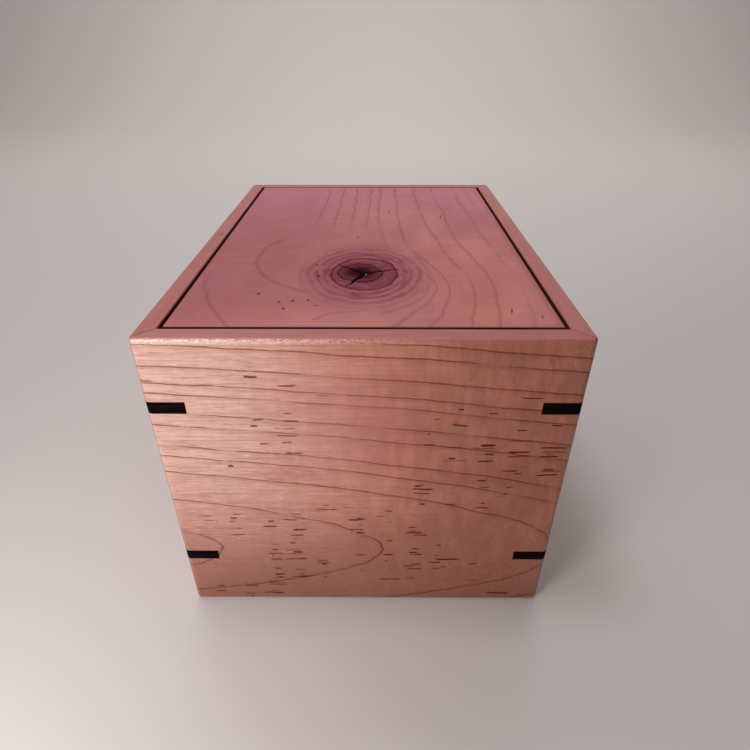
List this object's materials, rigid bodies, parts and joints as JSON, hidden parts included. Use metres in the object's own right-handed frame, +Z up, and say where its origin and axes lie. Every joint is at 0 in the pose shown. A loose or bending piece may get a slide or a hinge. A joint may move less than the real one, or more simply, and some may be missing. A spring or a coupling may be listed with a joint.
{
  "type": "wooden puzzle box",
  "caption": "Wooden puzzle box with splined mitre corners and a flush lift-off lid held by hidden sliding pins.",
  "frame": {"origin": "middle of the box's footprint, on the surface it stands on", "axes": "+Z up; +Y from the front face to the back, along the longest side; +X to the right as seen from the front"},
  "size_m": [0.19, 0.265, 0.165],
  "materials": {
    "maple_front": "satin oiled, flat-sawn figure with faint curl",
    "maple_back": "satin oiled, flat-sawn figure with faint curl",
    "maple_left": "satin oiled, flat-sawn figure with faint curl",
    "maple_right": "satin oiled, flat-sawn figure with faint curl",
    "maple_lid": "satin oiled, with one cracked knot",
    "maple_inside": "planed, unfinished",
    "black_spline": "satin oiled black hardwood",
    "pin_steel": "turned and polished",
    "magnet_nickel": "nickel plated",
    "screw_brass": "plain brass"
  },
  "bodies": {
    "case": {"front_wall": "maple_front", "back_wall": "maple_back", "left_wall": "maple_left", "right_wall": "maple_right", "spline_front_left_upper": "black_spline", "spline_front_left_lower": "black_spline", "spline_front_right_upper": "black_spline", "spline_front_right_lower": "black_spline", "spline_back_left_upper": "black_spline", "spline_back_left_lower": "black_spline", "spline_back_right_upper": "black_spline", "spline_back_right_lower": "black_spline", "base_panel": "maple_inside", "left_rail": "maple_inside", "right_rail": "maple_inside", "front_ledge": "maple_inside", "back_ledge": "maple_inside", "magnet_front_left": "magnet_nickel", "magnet_front_right": "magnet_nickel", "magnet_back_left": "magnet_nickel", "magnet_back_right": "magnet_nickel"},
    "lid": {"lid_panel": "maple_lid", "front_batten": "maple_inside", "back_batten": "maple_inside", "front_batten_screws": "screw_brass", "back_batten_screws": "screw_brass"},
    "front_left_pin": {"pin_front_left": "pin_steel"},
    "front_right_pin": {"pin_front_right": "pin_steel"},
    "back_left_pin": {"pin_back_left": "pin_steel"},
    "back_right_pin": {"pin_back_right": "pin_steel"}
  },
  "joints": [
    {"name": "lid_lift", "type": "slide", "parent": "case", "child": "lid", "axis": [0, 0, 1], "range_m": [0, 0.15]},
    {"name": "front_left_pin_slide", "type": "slide", "parent": "case", "child": "front_left_pin", "axis": [1, 0, 0], "range_m": [0, 0.008]},
    {"name": "front_right_pin_slide", "type": "slide", "parent": "case", "child": "front_right_pin", "axis": [-1, 0, 0], "range_m": [0, 0.008]},
    {"name": "back_left_pin_slide", "type": "slide", "parent": "case", "child": "back_left_pin", "axis": [1, 0, 0], "range_m": [0, 0.008]},
    {"name": "back_right_pin_slide", "type": "slide", "parent": "case", "child": "back_right_pin", "axis": [-1, 0, 0], "range_m": [0, 0.008]}
  ]
}
